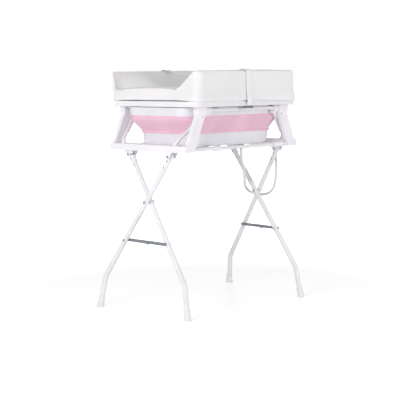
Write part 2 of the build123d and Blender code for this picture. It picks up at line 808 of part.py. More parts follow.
# Drain plug that lies on the bath's floor
lip_bottom = base_floor_height + seat_clearance
with BuildPart() as drain_plug:
    with BuildSketch(upright(drain_x, 0, 0)):
        with BuildLine():
            Polyline(
                (0, lip_bottom - plug_stem_length),
                (spigot_bore / 2 - 2 * seat_clearance, lip_bottom - plug_stem_length),
                (spigot_bore / 2 - seat_clearance, lip_bottom),
                (plug_lip_diameter / 2, lip_bottom),
                (plug_lip_diameter / 2, lip_bottom + plug_lip / 2),
                (plug_lip_diameter / 3, lip_bottom + plug_lip),
                (0, lip_bottom + plug_lip),
                close=True,
            )
        make_face()
    revolve(axis=drain_axis)
    with BuildSketch(upright(drain_x, plug_grip_thickness / 2, lip_bottom + plug_lip / 2)):
        with Locations((0, plug_grip_height / 2)):
            RectangleRounded(plug_grip_width, plug_grip_height, plug_grip_height / 3)
    extrude(amount=plug_grip_thickness)
finish(drain_plug, "drain_plug")


# Drain hose, with bends as large as its runs allow
def bends(points):
    vectors = [Vector(*point) for point in points]
    radii = []
    for before, corner, after in zip(vectors, vectors[1:], vectors[2:]):
        turn = (corner - before).get_angle(after - corner)
        shorter = min((corner - before).length, (after - corner).length)
        radii.append(hose_bend_share * shorter / tan(radians(turn / 2)))
    return radii


hose_radii = bends(hose_route)
print("hose bend radii:", [round(radius) for radius in hose_radii])
with BuildPart() as hose:
    hose_line = tube_along(hose_route, hose_radii, hose_diameter, hose_wall)
with BuildSketch() as hose_section:
    Circle(hose_diameter / 2)
    Circle(hose_diameter / 2 - hose_wall, mode=Mode.SUBTRACT)
hose_share = hose.part.volume / (hose_section.sketch.area * hose_line.length)
print("hose length:", round(hose_line.length), "volume over section times length:", round(hose_share, 4))
finish(hose, "drain_hose")

# Cap on the end of the hose
hose_end_x, hose_end_y, hose_end_height = hose_route[-1]
with BuildPart() as hose_cap:
    disc((hose_end_x, hose_end_y, hose_end_height), (0, 0, 1), hose_cap_diameter / 2, hose_cap_length)
    fillet(hose_cap.edges().group_by(Axis.Z)[-1], hose_cap_round)
finish(hose_cap, "hose_end_cap")

# Clip on the right end bar that holds the cap
clip_outside = hose_cap_diameter / 2 + seat_clearance + hose_clip_wall
with BuildPart() as clip:
    with BuildSketch(Plane.XY.offset(hose_end_height + hose_clip_rise)):
        with Locations((hose_end_x, hose_end_y)):
            Circle(clip_outside)
        with Locations(((bar_outer_x + hose_end_x) / 2, hose_end_y)):
            Rectangle(hose_end_x - bar_outer_x, clip_outside)
        with Locations((hose_end_x, hose_end_y)):
            Circle(hose_cap_diameter / 2 + seat_clearance, mode=Mode.SUBTRACT)
        with Locations((hose_end_x + clip_outside / 2, hose_end_y)):
            Rectangle(clip_outside, hose_clip_mouth, mode=Mode.SUBTRACT)
    extrude(amount=hose_clip_height)
finish(clip, "hose_clip")

# Tray of the changing top: a drafted skirt under a deck, with ribs over the blocks and hinge ears
deck_bottom = tray_top - tray_wall
rib_bottom = block_top + seat_clearance
tray_top_corner = tray_corner - tray_draft / 2
tray_levels = (
    (tray_bottom, tray_length, tray_width, tray_corner, 0),
    (tray_top, tray_length - 2 * tray_draft, tray_width - 2 * tray_draft, tray_top_corner, 0),
)
rib_length = tray_length - 2 * tray_draft - 2 * tray_wall
rib_width = tray_width - 2 * tray_draft - 2 * tray_wall
hollow_levels = (
    (tray_bottom, tray_length - 2 * tray_wall, tray_width - 2 * tray_wall, tray_corner - tray_wall, 0),
    (deck_bottom, rib_length, rib_width, tray_top_corner - tray_wall, 0),
)
ear_inside = hinge_half_width + seat_clearance
ear_outside = ear_inside + hinge_ear
hinge_bore = hinge_pin_diameter + 2 * running_clearance
with BuildPart() as tray:
    rounded_loft(tray_levels)
    rounded_loft(hollow_levels, mode=Mode.SUBTRACT)
    with BuildSketch(Plane.XY.offset(rib_bottom)):
        with GridLocations(0, 2 * upper_rail_y, 1, 2):
            Rectangle(rib_length, tray_rib)
        with GridLocations(2 * post_top_x, 0, 2, 1):
            Rectangle(tray_rib, rib_width)
    extrude(amount=deck_bottom - rib_bottom + tray_wall / 2)
    with BuildSketch(Plane.XY.offset(tray_bottom)):
        with GridLocations(2 * tray_rib_half_spacing, 0, 2, 1):
            Rectangle(tray_rib, rib_width)
        with GridLocations(0, 2 * tray_rib_half_spacing, 1, 2):
            Rectangle(rib_length, tray_rib)
    extrude(amount=deck_bottom - tray_bottom + tray_wall / 2)
    for station in (-hinge_station, hinge_station):
        for face in both_ends:
            with BuildSketch(across(station + face * ear_inside, hinge_y, hinge_height)):
                Circle(hinge_nose)
                with Locations((0, deck_bottom - hinge_height)):
                    Rectangle(2 * hinge_nose, tray_wall)
                make_hull()
            extrude(amount=face * hinge_ear)
        reach = ear_outside + cut_overrun
        rod(station - reach, station + reach, hinge_y, hinge_height, hinge_bore, Mode.SUBTRACT)
finish(tray, "top_tray")

# Hinge clamps on the far upper rail, and their pins
with BuildPart() as hinge_clamps:
    for station in (-hinge_station, hinge_station):
        start = station - hinge_half_width
        stop = station + hinge_half_width
        rod(start, stop, upper_rail_y, upper_rail_height, upper_rail_bore + 2 * hinge_clamp_wall)
        with BuildSketch(across(start, hinge_y, hinge_height)):
            Circle(hinge_nose)
            with Locations((upper_rail_y - hinge_y, upper_rail_height - hinge_height)):
                Circle(hinge_nose)
            make_hull()
        extrude(amount=stop - start)
        rod(start, stop, upper_rail_y, upper_rail_height, upper_rail_bore, Mode.SUBTRACT)
        rod(start, stop, hinge_y, hinge_height, hinge_bore, Mode.SUBTRACT)
finish(hinge_clamps, "hinge_clamps")

with BuildPart() as hinge_pins:
    for station in (-hinge_station, hinge_station):
        rod(station - ear_outside, station + ear_outside, hinge_y, hinge_height, hinge_pin_diameter)
        for face in both_ends:
            start = station + face * ear_outside
            rod(start, start + face * hinge_pin_proud, hinge_y, hinge_height, hinge_pin_head)
finish(hinge_pins, "hinge_pins")

# Hollow of the pad: sloping walls at the near and far sides and at the right end
half_length = pad_length / 2
half_width = pad_width / 2
open_top = pad_top + pad_wall_round
past_side = half_width + cut_overrun
past_end = half_length + cut_overrun
end_slope_share = (pad_end_foot - pad_end_top) / pad_end_drop
hollow_low = pad_floor_height - pad_wall_round
hollow_low_x = half_length - pad_end_top - end_slope_share * (pad_top - hollow_low)
with BuildPart() as hollow:
    with BuildSketch(across(-past_end, 0, 0)) as section:
        with BuildLine():
            Polyline(
                (pad_wall_foot, pad_floor_height),
                (half_width - pad_wall_top, pad_top),
                (past_side, pad_top),
                (past_side, open_top),
                (-past_side, open_top),
                (-past_side, pad_top),
                (pad_wall_top - half_width, pad_top),
                (-pad_wall_foot, pad_floor_height),
            )
            ThreePointArc(
                (-pad_wall_foot, pad_floor_height),
                (0, pad_floor_height + pad_crown),
                (pad_wall_foot, pad_floor_height),
            )
        make_face()
        for side in both_ends:
            edge_point = (side * (half_width - pad_wall_top), pad_top)
            fillet(section.vertices().sort_by_distance(edge_point)[0], pad_wall_round)
    extrude(amount=2 * past_end)
    with BuildSketch(upright(0, past_side, 0)) as section:
        with BuildLine():
            Polyline(
                (-past_end, hollow_low),
                (hollow_low_x, hollow_low),
                (half_length - pad_end_top, pad_top),
                (past_end, pad_top),
                (past_end, open_top),
                (-past_end, open_top),
                close=True,
            )
        make_face()
        edge_point = (half_length - pad_end_top, pad_top)
        fillet(section.vertices().sort_by_distance(edge_point)[0], pad_wall_round)
    extrude(amount=2 * past_side, mode=Mode.INTERSECT)

# Changing pad, with sides drawn in between its corners and a crowned mattress
pad_corners = (
    (half_length - pad_corner, -half_width),
    (half_length, pad_corner - half_width),
    (half_length, half_width - pad_corner),
    (half_length - pad_corner, half_width),
    (pad_corner - half_length, half_width),
    (-half_length, half_width - pad_corner),
    (-half_length, pad_corner - half_width),
    (pad_corner - half_length, -half_width),
)
pad_side_middles = (
    (half_length - pad_draw_in, 0),
    (0, half_width - pad_draw_in),
    (pad_draw_in - half_length, 0),
    (0, pad_draw_in - half_width),
)
with BuildPart() as pad:
    with BuildSketch(Plane.XY.offset(pad_bottom)):
        with BuildLine():
            for index in range(4):
                start = pad_corners[2 * index]
                middle = pad_corners[2 * index + 1]
                stop = pad_corners[(2 * index + 2) % 8]
                RadiusArc(start, middle, -pad_corner)
                ThreePointArc(middle, pad_side_middles[index], stop)
        make_face()
    extrude(amount=pad_top - pad_bottom)
    fillet(pad.edges().group_by(Axis.Z)[-1], pad_edge)
    fillet(pad.edges().group_by(Axis.Z)[0], pad_edge / 2)
    add(hollow.part, mode=Mode.SUBTRACT)
finish(pad, "changing_pad")

# Belt halves over the walls, from the anchors to the buckle in the middle
buckle_height = belt_top_height - belt_sag
belt_end_y = buckle_half_length + belt_thickness / 2 + running_clearance
belt_end_rise = belt_sag * (belt_end_y / belt_span_half) ** 2
half_span_share = 0.5
belt_half_rise = belt_sag * half_span_share**2
for side, name in ((-1, "belt_near"), (1, "belt_far")):
    with BuildPart() as belt:
        with BuildSketch(across(-belt_width / 2, 0, 0)):
            with BuildLine():
                FilletPolyline(
                    (side * belt_side_y, belt_end_height),
                    (side * belt_side_y, belt_top_height),
                    (side * belt_span_half, belt_top_height),
                    radius=belt_corner,
                )
                ThreePointArc(
                    (side * belt_span_half, belt_top_height),
                    (side * belt_span_half * half_span_share, buckle_height + belt_half_rise),
                    (side * belt_end_y, buckle_height + belt_end_rise),
                )
                offset(amount=belt_thickness / 2, side=Side.BOTH)
            make_face()
        extrude(amount=belt_width)
    finish(belt, name)

# Buckle: a socket on the near belt and a tongue plate on the far belt
for name, y_from, y_to in (
    ("buckle_socket", -buckle_half_length, buckle_split),
    ("buckle_tongue", buckle_split, buckle_half_length),
):
    with BuildPart() as buckle:
        with BuildSketch(Plane.XY.offset(buckle_height - buckle_thickness / 2)):
            with Locations((0, (y_from + y_to) / 2)):
                RectangleRounded(buckle_width, y_to - y_from, buckle_edge)
        extrude(amount=buckle_thickness)
        fillet(buckle.edges().group_by(Axis.Z)[-1], buckle_edge / 2)
        fillet(buckle.edges().group_by(Axis.Z)[0], buckle_edge / 2)
    finish(buckle, name)

# Belt anchors under the tray's skirt
with BuildPart() as anchors:
    with BuildSketch(Plane.XY.offset(tray_bottom)):
        for side in both_ends:
            with Locations((0, side * (belt_side_y + anchor_slot - anchor_depth / 2))):
                RectangleRounded(anchor_width, anchor_depth, anchor_slot / 2)
            with Locations((0, side * belt_side_y)):
                Rectangle(belt_width + anchor_slot / 2, anchor_slot, mode=Mode.SUBTRACT)
    extrude(amount=-anchor_height)
finish(anchors, "belt_anchors")
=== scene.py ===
import json
import math
import bpy
from mathutils import Matrix, Vector, noise


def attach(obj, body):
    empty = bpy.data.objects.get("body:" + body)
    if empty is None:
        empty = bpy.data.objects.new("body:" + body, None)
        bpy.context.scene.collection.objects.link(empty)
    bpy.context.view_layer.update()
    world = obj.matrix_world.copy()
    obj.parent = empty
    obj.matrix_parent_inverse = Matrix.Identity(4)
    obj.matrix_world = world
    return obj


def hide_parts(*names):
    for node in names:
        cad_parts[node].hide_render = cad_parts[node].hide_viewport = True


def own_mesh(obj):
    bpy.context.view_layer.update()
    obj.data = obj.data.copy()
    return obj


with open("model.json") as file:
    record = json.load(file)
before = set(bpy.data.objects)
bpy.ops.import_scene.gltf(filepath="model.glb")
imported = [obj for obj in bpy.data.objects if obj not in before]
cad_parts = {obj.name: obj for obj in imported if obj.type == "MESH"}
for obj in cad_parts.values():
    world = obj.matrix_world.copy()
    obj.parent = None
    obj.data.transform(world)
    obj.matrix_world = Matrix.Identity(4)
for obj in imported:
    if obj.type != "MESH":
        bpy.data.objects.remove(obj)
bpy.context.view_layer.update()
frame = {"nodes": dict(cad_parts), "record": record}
nodes = frame["nodes"]
scene = bpy.context.scene
print("frame loaded,", len(nodes), "nodes")

# the camera stands where the photograph was taken from
view = {
    "place": (-3.62471, -3.64909, 1.00142),
    "azimuth": -44.5428,
    "down": 6.0882,
    "roll": -0.5376,
    "lens": 105.168,
    "sensor": 36.0,
    "nearest": 0.05,
    "farthest": 60,
}


def placeCamera():
    turn, down, roll = (math.radians(view[key]) for key in ("azimuth", "down", "roll"))
    flat = math.cos(down)
    back = Vector((math.sin(turn) * flat, -math.cos(turn) * flat, math.sin(down)))
    level = Vector((math.cos(turn), math.sin(turn), 0))
    upward = back.cross(level)
    right = level * math.cos(roll) + upward * math.sin(roll)
    top = upward * math.cos(roll) - level * math.sin(roll)
    lens = bpy.data.cameras.new("camera")
    lens.lens = view["lens"]
    lens.sensor_width = view["sensor"]
    lens.clip_start = view["nearest"]
    lens.clip_end = view["farthest"]
    camera = bpy.data.objects.new("camera", lens)
    scene.collection.objects.link(camera)
    turned = Matrix((right, top, back)).transposed().to_4x4()
    camera.matrix_world = Matrix.Translation(view["place"]) @ turned
    scene.camera = camera


placeCamera()

# the drain hose follows its route as one smooth spline, from the cup's tail back up to the clip
hoseLine = {
    "diameter": 0.013,
    "length": 0.624,
    "order": 3,
    "stepsAlong": 12,
    "stepsRound": 6,
    "route": [
        (0.232, 0.000, 0.668),
        (0.232, 0.000, 0.635),
        (0.238, -0.006, 0.597),
        (0.250, -0.003, 0.557),
        (0.268, 0.013, 0.522),
        (0.294, 0.037, 0.497),
        (0.326, 0.057, 0.475),
        (0.362, 0.064, 0.456),
        (0.393, 0.047, 0.444),
        (0.408, 0.012, 0.445),
        (0.406, -0.024, 0.460),
        (0.398, -0.052, 0.487),
        (0.387, -0.071, 0.522),
        (0.377, -0.084, 0.560),
        (0.370, -0.091, 0.600),
        (0.368, -0.092, 0.636),
        (0.368, -0.092, 0.668),
    ],
}


def runHose():
    line = bpy.data.curves.new("drainHose", "CURVE")
    line.dimensions = "3D"
    spline = line.splines.new("NURBS")
    spline.points.add(len(hoseLine["route"]) - 1)
    for point, place in zip(spline.points, hoseLine["route"]):
        point.co = (*place, 1)
        point.radius = hoseLine["diameter"] / 2
    spline.order_u = hoseLine["order"]
    spline.use_endpoint_u = True
    spline.resolution_u = hoseLine["stepsAlong"]
    # the points' radius carries the size, so the curve's own box stays tight
    line.bevel_depth = 1
    line.bevel_resolution = hoseLine["stepsRound"]
    line.use_fill_caps = True
    made = bpy.data.objects.new("drainHose", line)
    scene.collection.objects.link(made)
    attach(made, "bath_frame")
    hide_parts("drain_hose")
    return made


drainHose = runHose()
print("camera and hose placed")


# a hex colour as linear light; the numbers are those of the sRGB curve
def linear(hexColour):
    parts = [int(hexColour[i:i + 2], 16) / 255 for i in (1, 3, 5)]
    return [c / 12.92 if c <= 0.04045 else ((c + 0.055) / 1.055) ** 2.4 for c in parts] + [1]


# a material or world whose shader tree is still to be built
def emptied(block):
    block.use_nodes = True
    block.node_tree.nodes.clear()
    return block


def addNode(material, kind, inputs=None, settings=None, stops=()):
    tree = material.node_tree
    node = tree.nodes.new(kind)
    for key, value in (settings or {}).items():
        setattr(node, key, value)
    for key, value in (inputs or {}).items():
        if isinstance(value, tuple) and isinstance(value[0], bpy.types.Node):
            tree.links.new(value[0].outputs[value[1]], node.inputs[key])
        else:
            node.inputs[key].default_value = value
    for index, (place, colour) in enumerate(stops):
        ramp = node.color_ramp.elements
        stop = ramp[index] if index < 2 else ramp.new(place)
        stop.position = place
        stop.color = linear(colour)
    return node


# each finish: two near colours that drift over patchMm, a grain of grainMm raised by reliefMm
finishes = {
    # powder coat on steel tube: satin, with the faint dimples of the sprayed film
    "painted_white": {
        "colours": ("#E9E8EB", "#F0EFF2"), "patchMm": 60, "grainMm": 1.6, "reliefMm": 0.05,
        "roughness": (0.32, 0.42), "shader": {"IOR": 1.5},
    },
    # injection-moulded polypropylene: brighter, a fine spark-eroded texture
    "moulded_white": {
        "colours": ("#F0EEF3", "#F5F3F7"), "patchMm": 90, "grainMm": 0.9, "reliefMm": 0.04,
        "roughness": (0.38, 0.5), "shader": {"IOR": 1.49},
    },
    # soft polyethylene caps: duller than the frame
    "cap_white": {
        "colours": ("#EAE8EC", "#F1F0F3"), "patchMm": 25, "grainMm": 1.2, "reliefMm": 0.05,
        "roughness": (0.5, 0.62), "shader": {"IOR": 1.51},
    },
    # zinc-plated steel rivets: cool grey with a brushed drift in the gloss
    "rivet_steel": {
        "colours": ("#AEB1B5", "#C2C4C7"), "patchMm": 6, "grainMm": 0.7, "reliefMm": 0.02,
        "roughness": (0.3, 0.45), "shader": {"Metallic": 0.85},
    },
    # grey painted flat steel of the stays
    "stay_grey": {
        "colours": ("#787E83", "#878C92"), "patchMm": 30, "grainMm": 1.3, "reliefMm": 0.04,
        "roughness": (0.35, 0.48), "shader": {"IOR": 1.5},
    },
    # moulded bath wall: smooth, a little cooler than the frame
    "tub_white": {
        "colours": ("#E6E5EB", "#EBEAEF"), "patchMm": 110, "grainMm": 1.1, "reliefMm": 0.03,
        "roughness": (0.3, 0.4), "shader": {"IOR": 1.49},
    },
    # thermoplastic rubber band: soft pink, light goes a little way in
    "band_pink": {
        "colours": ("#ECC0D2", "#F2C9DA"), "patchMm": 80, "grainMm": 1.0, "reliefMm": 0.04,
        "roughness": (0.42, 0.55),
        "shader": {"IOR": 1.47, "Subsurface Weight": 0.12, "Subsurface Scale": 0.004},
    },
    # grey polyethylene of the drain cup and the plug
    "drain_grey": {
        "colours": ("#9A9CA3", "#A6A8AE"), "patchMm": 20, "grainMm": 0.8, "reliefMm": 0.03,
        "roughness": (0.45, 0.55), "shader": {"IOR": 1.5},
    },
    # milky vinyl tube: light passes its wall, the edges look darker
    "hose_clear": {
        "colours": ("#F1F1F3", "#F6F6F8"), "patchMm": 35, "grainMm": 2.0, "reliefMm": 0.03,
        "roughness": (0.22, 0.34),
        "shader": {"IOR": 1.45, "Transmission Weight": 0.1, "Coat Weight": 0.2},
    },
    # wipe-clean vinyl on cotton: fine embossed grain, slightly soft gloss
    "pad_vinyl": {
        "colours": ("#EDEBEC", "#F2F0F1"), "patchMm": 140, "grainMm": 1.4, "reliefMm": 0.12,
        "roughness": (0.44, 0.56),
        "shader": {"IOR": 1.5, "Sheen Weight": 0.08, "Sheen Roughness": 0.4},
    },
    # moulded anchors of the belt under the tray's skirt; their dark grey is painted shade,
    # standing for the shadow of the strap's loop there
    "anchor_grey": {
        "colours": ("#6E6E74", "#7A7A80"), "patchMm": 20, "grainMm": 0.8, "reliefMm": 0.03,
        "roughness": (0.5, 0.6), "shader": {"IOR": 1.5},
    },
}


# what all finishes share: how finely drift and grain are drawn, and the part of each that counts
mmPerMetre = 1000
finishMaking = {
    "driftDetail": 2.0,
    "driftStops": (0.35, 0.65),
    "grainDetail": 3.0,
    "grainRange": (0.3, 0.7),
    "reliefStrength": 0.5,
}


def makeFinish(name, look):
    made = emptied(bpy.data.materials.new(name))
    place = addNode(made, "ShaderNodeTexCoord")
    drift = addNode(made, "ShaderNodeTexNoise", {
        "Vector": (place, "Object"), "Scale": mmPerMetre / look["patchMm"],
        "Detail": finishMaking["driftDetail"],
    })
    tint = addNode(made, "ShaderNodeValToRGB", {"Fac": (drift, "Fac")},
                   stops=zip(finishMaking["driftStops"], look["colours"]))
    grain = addNode(made, "ShaderNodeTexNoise", {
        "Vector": (place, "Object"), "Scale": mmPerMetre / look["grainMm"],
        "Detail": finishMaking["grainDetail"],
    })
    low, high = finishMaking["grainRange"]
    gloss = addNode(made, "ShaderNodeMapRange", {
        "Value": (grain, "Fac"), "From Min": low, "From Max": high,
        "To Min": look["roughness"][0], "To Max": look["roughness"][1],
    })
    relief = addNode(made, "ShaderNodeBump", {
        "Height": (grain, "Fac"), "Strength": finishMaking["reliefStrength"],
        "Distance": look["reliefMm"] / mmPerMetre,
    })
    shader = addNode(made, "ShaderNodeBsdfPrincipled", {
        "Base Color": (tint, "Color"), "Roughness": (gloss, "Result"),
        "Normal": (relief, "Normal"), **look["shader"],
    })
    addNode(made, "ShaderNodeOutputMaterial", {"Surface": (shader, "BSDF")})
    return made


# woven polyester webbing: threads 2 mm apart, drawn coarser than the real 1 mm so that they show
webbing = {
    "colours": ("#EFEEF1", "#F7F6F8"),
    "stops": (0.1, 0.8),
    "threadMm": 2.0,
    "width": 0.03,
    "length": 0.36,
    "reliefMm": 0.15,
    "reliefStrength": 0.6,
    "roughness": 0.75,
    "sheen": 0.2,
    # the wave texture repeats every twentieth of a turn
    "repeats": 20,
}


def makeWebbing(name):
    made = emptied(bpy.data.materials.new(name))
    place = addNode(made, "ShaderNodeTexCoord")
    size = (webbing["width"] * mmPerMetre, webbing["length"] * mmPerMetre, 1)
    sized = addNode(made, "ShaderNodeMapping", {"Vector": (place, "UV"), "Scale": size})
    turn = math.tau / webbing["threadMm"] / webbing["repeats"]
    across, along = (
        addNode(made, "ShaderNodeTexWave", {"Vector": (sized, "Vector"), "Scale": turn},
                {"bands_direction": direction})
        for direction in ("X", "Y")
    )
    weave = addNode(made, "ShaderNodeMath", {0: (across, "Fac"), 1: (along, "Fac")},
                    {"operation": "MAXIMUM"})
    tint = addNode(made, "ShaderNodeValToRGB", {"Fac": (weave, "Value")},
                   stops=zip(webbing["stops"], webbing["colours"]))
    relief = addNode(made, "ShaderNodeBump", {
        "Height": (weave, "Value"), "Strength": webbing["reliefStrength"],
        "Distance": webbing["reliefMm"] / mmPerMetre,
    })
    shader = addNode(made, "ShaderNodeBsdfPrincipled", {
        "Base Color": (tint, "Color"), "Roughness": webbing["roughness"],
        "Normal": (relief, "Normal"), "Sheen Weight": webbing["sheen"],
    })
    addNode(made, "ShaderNodeOutputMaterial", {"Surface": (shader, "BSDF")})
    return made


materials = {name: makeFinish(name, look) for name, look in finishes.items()}
materials["belt_webbing"] = makeWebbing("belt_webbing")
for entry in frame["record"]["subparts"]:
    coat = nodes[entry["node"]].data.materials
    coat.clear()
    coat.append(materials[entry["material_slot"]])
drainHose.data.materials.append(materials["hose_clear"])
print("finishes made,", len(materials))


def pick(piece):
    bpy.ops.object.select_all(action="DESELECT")
    piece.select_set(True)
    bpy.context.view_layer.objects.active = piece


def finishPiece(piece, body, slot, replaced=()):
    piece.data.materials.clear()
    piece.data.materials.append(materials[slot])
    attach(piece, body)
    if replaced:
        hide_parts(*replaced)


def applyModifier(piece, kind, settings):
    pick(piece)
    modifier = piece.modifiers.new("step", kind)
    for key, value in settings.items():
        setattr(modifier, key, value)
    bpy.ops.object.modifier_apply(modifier="step")


# the pad: the solid's shape, shrunk, then blown up as cloth so that its edges go soft
padMaking = {
    "weld": 0.00002,
    "voxel": 0.0065,
    "shrink": 0.003,
    "pressure": 8.0,
    "quality": 4,
    "frames": 20,
    "cap": 0.0035,
    "underside": 0.8957,
}


def stuffPad():
    pad = bpy.data.objects.new("paddedTop", nodes["changing_pad"].data.copy())
    scene.collection.objects.link(pad)
    pick(pad)
    bpy.ops.object.mode_set(mode="EDIT")
    bpy.ops.mesh.select_all(action="SELECT")
    bpy.ops.mesh.remove_doubles(threshold=padMaking["weld"])
    bpy.ops.object.mode_set(mode="OBJECT")
    applyModifier(pad, "REMESH", {"mode": "VOXEL", "voxel_size": padMaking["voxel"]})
    applyModifier(pad, "DISPLACE", {"strength": -padMaking["shrink"], "mid_level": 0})
    blowUp(pad)
    applyModifier(pad, "SUBSURF", {"levels": 1, "render_levels": 1})
    return pad


def blowUp(pad):
    before = [vertex.co.copy() for vertex in pad.data.vertices]
    cloth = pad.modifiers.new("stuffing", "CLOTH")
    cloth.settings.quality = padMaking["quality"]
    cloth.settings.use_pressure = True
    cloth.settings.uniform_pressure_force = padMaking["pressure"]
    cloth.settings.effector_weights.gravity = 0
    cloth.collision_settings.use_collision = False
    cloth.point_cache.frame_end = padMaking["frames"]
    for step in range(1, padMaking["frames"] + 1):
        scene.frame_set(step)
    swollen = pad.evaluated_get(bpy.context.evaluated_depsgraph_get())
    after = [vertex.co.copy() for vertex in swollen.data.vertices]
    pad.modifiers.remove(cloth)
    scene.frame_set(1)
    for vertex, start, end in zip(pad.data.vertices, before, after):
        move = end - start
        if move.length > padMaking["cap"]:
            move *= padMaking["cap"] / move.length
        vertex.co = start + move


paddedTop = stuffPad()

# the far wall thins out towards the open end, where its inner face comes out to the pad's edge
openEnd = {
    "start": -0.12,
    "stop": -0.285,
    "floor": 0.946,
    "blend": 0.014,
    "foot": 0.134,
    "lean": 1.528,
    "crest": 0.244,
    "edge": 0.271,
    "wall": 0.25,
    "wallLean": 0.1,
}


def clamped(share):
    return max(0, min(1, share))


def thinFarWall(place):
    share = clamped((openEnd["start"] - place.x) / (openEnd["start"] - openEnd["stop"]))
    over = clamped((place.z - openEnd["floor"]) / openEnd["blend"] + 1)
    if place.y <= 0 or share == 0 or over == 0:
        return
    share *= share * (3 - 2 * share)
    high = max(0, place.z - openEnd["floor"])
    inner = min(openEnd["crest"], openEnd["foot"] + openEnd["lean"] * high)
    drawn = openEnd["wall"] + openEnd["wallLean"] * high
    edge = openEnd["edge"]
    if place.y < inner:
        moved = place.y * drawn / inner
    else:
        moved = edge - (edge - place.y) * (edge - drawn) / (edge - inner)
    place.y += share * over * (moved - place.y)


# the pad's lower edge bulges and hangs a little over the tray's skirt, and its walls stand full
overhang = {
    "length": 0.304,
    "width": 0.264,
    "corner": 0.03,
    "gap": 0.0018,
    "lip": 0.003,
    "droop": 0.007,
    "droopMore": 0.004,
    "level": 0.911,
    "depth": 0.012,
    "bulge": 0.006,
    "bulgeLevel": 0.945,
    "bulgeDepth": 0.035,
    "wallFrom": 0.96,
    "wallRise": 0.19,
}


def hangOver(place, normal):
    under = clamped((overhang["bulgeLevel"] - place.z) / overhang["bulgeDepth"])
    bulge = under * overhang["bulge"]
    place.x += normal.x * bulge
    place.y += normal.y * bulge
    place.z += max(0, place.z - overhang["wallFrom"]) * overhang["wallRise"]
    corner = overhang["corner"]
    alongX = abs(place.x) - overhang["length"] + corner
    alongY = abs(place.y) - overhang["width"] + corner
    outside = math.hypot(max(alongX, 0), max(alongY, 0)) + min(max(alongX, alongY), 0) - corner
    lip = clamped((outside - overhang["gap"]) / overhang["lip"])
    droop = lip * (overhang["droop"] + overhang["droopMore"] * place.x / overhang["length"])
    low = clamped((overhang["level"] - place.z) / overhang["depth"])
    place.z = max(place.z - droop * low, padMaking["underside"] - droop)


# puckers where the cover is drawn tight, at the open end and in the well's two closed corners,
# and a slow unevenness everywhere
puckers = {
    "centres": [
        (-0.305, -0.14, 0.948),
        (-0.305, 0.245, 0.948),
        (0.19, -0.14, 0.95),
        (0.19, 0.14, 0.95),
    ],
    "reach": 0.06,
    "height": 0.0034,
    "wave": 0.011,
    "rings": 2,
    "seed": (0, 0, 7),
    "foldShare": 0.6,
    "ringShare": 0.4,
    "slowHeight": 0.0009,
    "slowWave": 0.07,
}


def puckerPad():
    mesh = paddedTop.data
    outward = [vertex.normal.copy() for vertex in mesh.vertices]
    places = []
    for vertex, normal in zip(mesh.vertices, outward):
        place = vertex.co.copy()
        thinFarWall(place)
        rise = puckers["slowHeight"] * noise.noise(place / puckers["slowWave"])
        for centre in puckers["centres"]:
            away = (place - Vector(centre)).length / puckers["reach"]
            if away < 1:
                ring = math.sin(away * puckers["reach"] / puckers["wave"] * puckers["rings"])
                fold = noise.noise(place / puckers["wave"] + Vector(puckers["seed"]))
                both = puckers["foldShare"] * fold + puckers["ringShare"] * ring
                rise += puckers["height"] * (1 - away) ** 2 * both
        place += normal * rise
        hangOver(place, normal)
        places.extend(place)
    mesh.vertices.foreach_set("co", places)
    mesh.update()


puckerPad()
pick(paddedTop)
bpy.ops.object.shade_smooth()
finishPiece(paddedTop, "changing_top", "pad_vinyl", ["changing_pad"])
print("pad stuffed,", len(paddedTop.data.polygons), "faces")

# the belt halves: webbing over the walls, slack in the middle
belt = {
    "width": webbing["width"],
    "thickness": 0.0015,
    "side": 0.2668,
    "top": 1.0258,
    "foot": 0.865,
    # height and distance from the middle, down the skirt, the pad's lip and its bulge
    "profile": [
        (0.865, 0.2692),
        (0.876, 0.2690),
        (0.885, 0.2727),
        (0.910, 0.2729),
        (0.945, 0.2672),
    ],
    "corner": 0.0102,
    "cornerSteps": 12,
    "spanHalf": 0.234,
    "sag": 0.0286,
    "end": 0.0279,
    "steps": 60,
    "stepsAcross": 6,
    # a slight unevenness: its height, its length in steps, its change across and from half to half
    "lift": 0.0003,
    "liftSteps": 9,
    "liftAcross": 2,
    "liftSide": 5,
    "tip": 0.15,
    "tipOver": 0.03,
    "edge": {"width": 0.0004, "segments": 2, "angle_limit": 1.0},
    "smoothAngle": 0.7,
}


def beltSide(height):
    before = belt["profile"][0]
    for after in belt["profile"][1:]:
        if height <= after[0]:
            share = (height - before[0]) / (after[0] - before[0])
            return before[1] + (after[1] - before[1]) * share
        before = after
    return belt["side"]


def beltPath(side):
    corner, drop = belt["corner"], belt["top"] - belt["corner"]
    points = []
    for index in range(belt["steps"] + 1):
        height = belt["foot"] + (drop - belt["foot"]) * index / belt["steps"]
        points.append((side * beltSide(height), height))
    for index in range(1, belt["cornerSteps"] + 1):
        turn = math.pi / 2 * index / belt["cornerSteps"]
        away = corner * (1 - math.cos(turn))
        points.append((side * (belt["side"] - away), drop + corner * math.sin(turn)))
    flat = belt["side"] - corner
    for index in range(1, belt["steps"] + 1):
        y = flat + (belt["end"] - flat) * index / belt["steps"]
        share = min(1, y / belt["spanHalf"])
        points.append((side * y, belt["top"] - belt["sag"] * (1 - share**2)))
    return points


